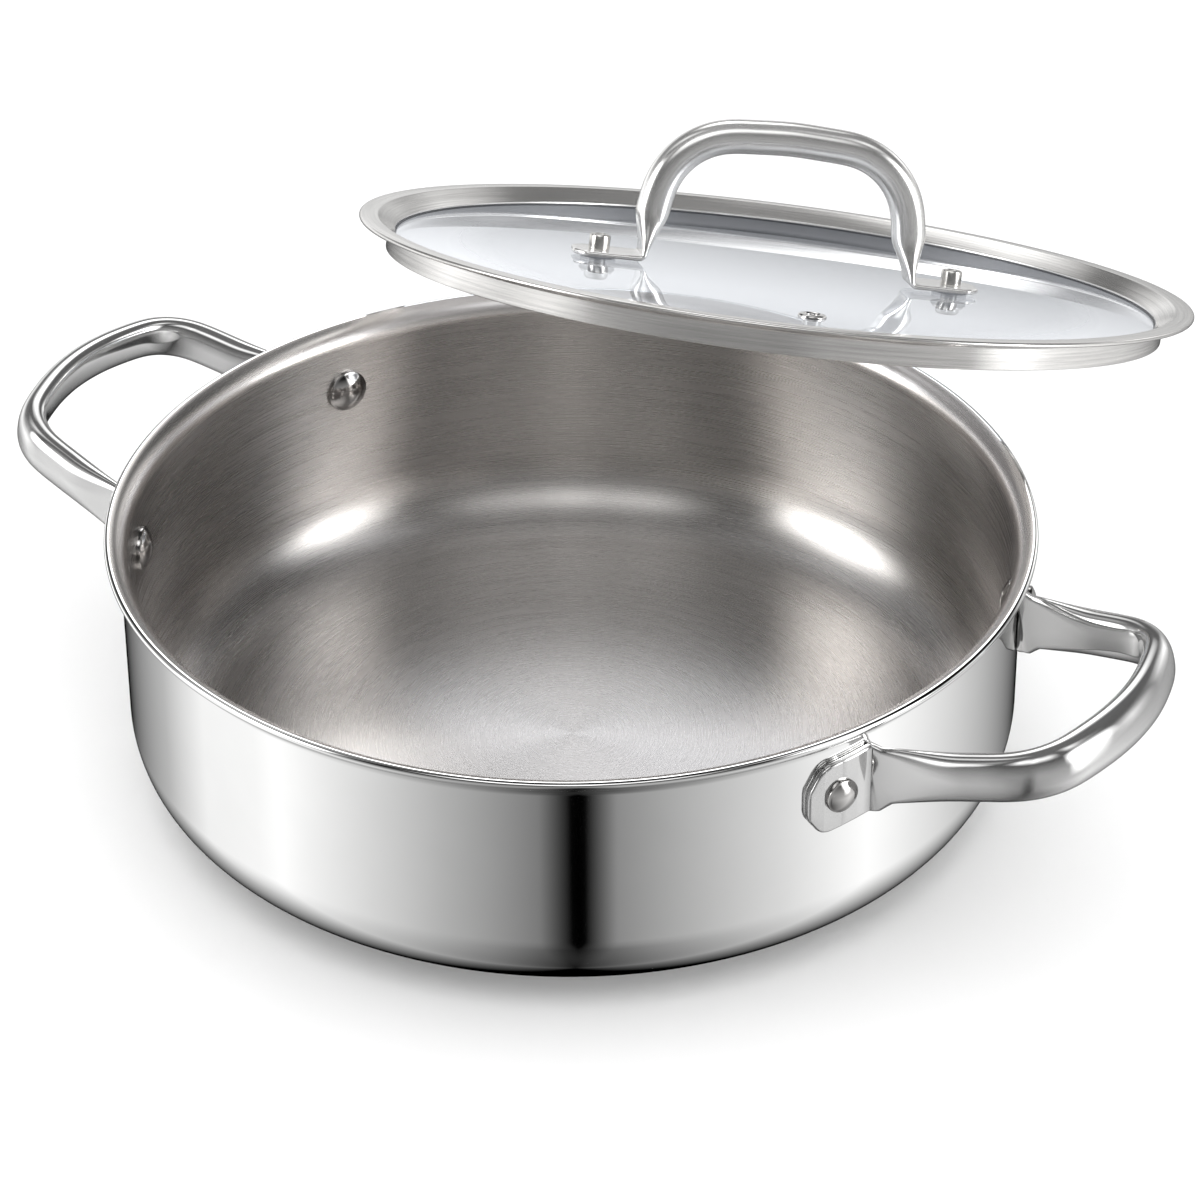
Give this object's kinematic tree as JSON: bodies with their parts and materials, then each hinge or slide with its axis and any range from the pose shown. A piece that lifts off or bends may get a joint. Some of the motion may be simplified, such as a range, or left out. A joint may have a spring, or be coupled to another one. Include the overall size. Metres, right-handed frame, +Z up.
{
  "type": "saute pan with lid",
  "caption": "Straight-sided stainless saute pan with a flared lip, riveted tube loop handles and a steel-rimmed glass lid that lifts off, shown held above the pan's rear edge.",
  "frame": {"origin": "on the pan's axis, in the plane of its flat base", "axes": "+Z up along the pan's axis, X through both loop handles, +Y towards the side where the lid is held"},
  "size_m": [0.4042, 0.4744, 0.1335],
  "materials": {
    "satin_steel": "brushed round the pan's axis",
    "core_aluminium": "rolled",
    "polished_steel": "mirror polished",
    "handle_steel": "mirror polished tube",
    "rivet_steel": "polished head",
    "rim_steel": "polished strip with a satin skirt",
    "clear_glass": "clear tempered, polished",
    "gasket_rubber": "smooth",
    "grip_steel": "satin polished along the tube",
    "nut_steel": "fine turned",
    "pad_rubber": "matt silicone",
    "screw_steel": "bright"
  },
  "bodies": {
    "pan": {"inner_ply": "satin_steel", "aluminium_core": "core_aluminium", "outer_ply": "polished_steel", "left_handle": "handle_steel", "right_handle": "handle_steel", "left_front_rivet": "rivet_steel", "left_rear_rivet": "rivet_steel", "right_front_rivet": "rivet_steel", "right_rear_rivet": "rivet_steel"},
    "lid": {"lid_glass": "clear_glass", "lid_rim": "rim_steel", "rim_gasket": "gasket_rubber", "vent_grommet": "screw_steel", "lid_handle": "grip_steel", "left_barrel_nut": "nut_steel", "right_barrel_nut": "nut_steel", "left_screw": "screw_steel", "right_screw": "screw_steel", "left_upper_pad": "pad_rubber", "right_upper_pad": "pad_rubber", "left_lower_pad": "pad_rubber", "right_lower_pad": "pad_rubber", "left_washer": "screw_steel", "right_washer": "screw_steel"}
  },
  "joints": [
    {"name": "lid_lift", "type": "slide", "parent": "pan", "child": "lid", "axis": [0, 0, 1], "range_m": [0, 0.15]}
  ]
}
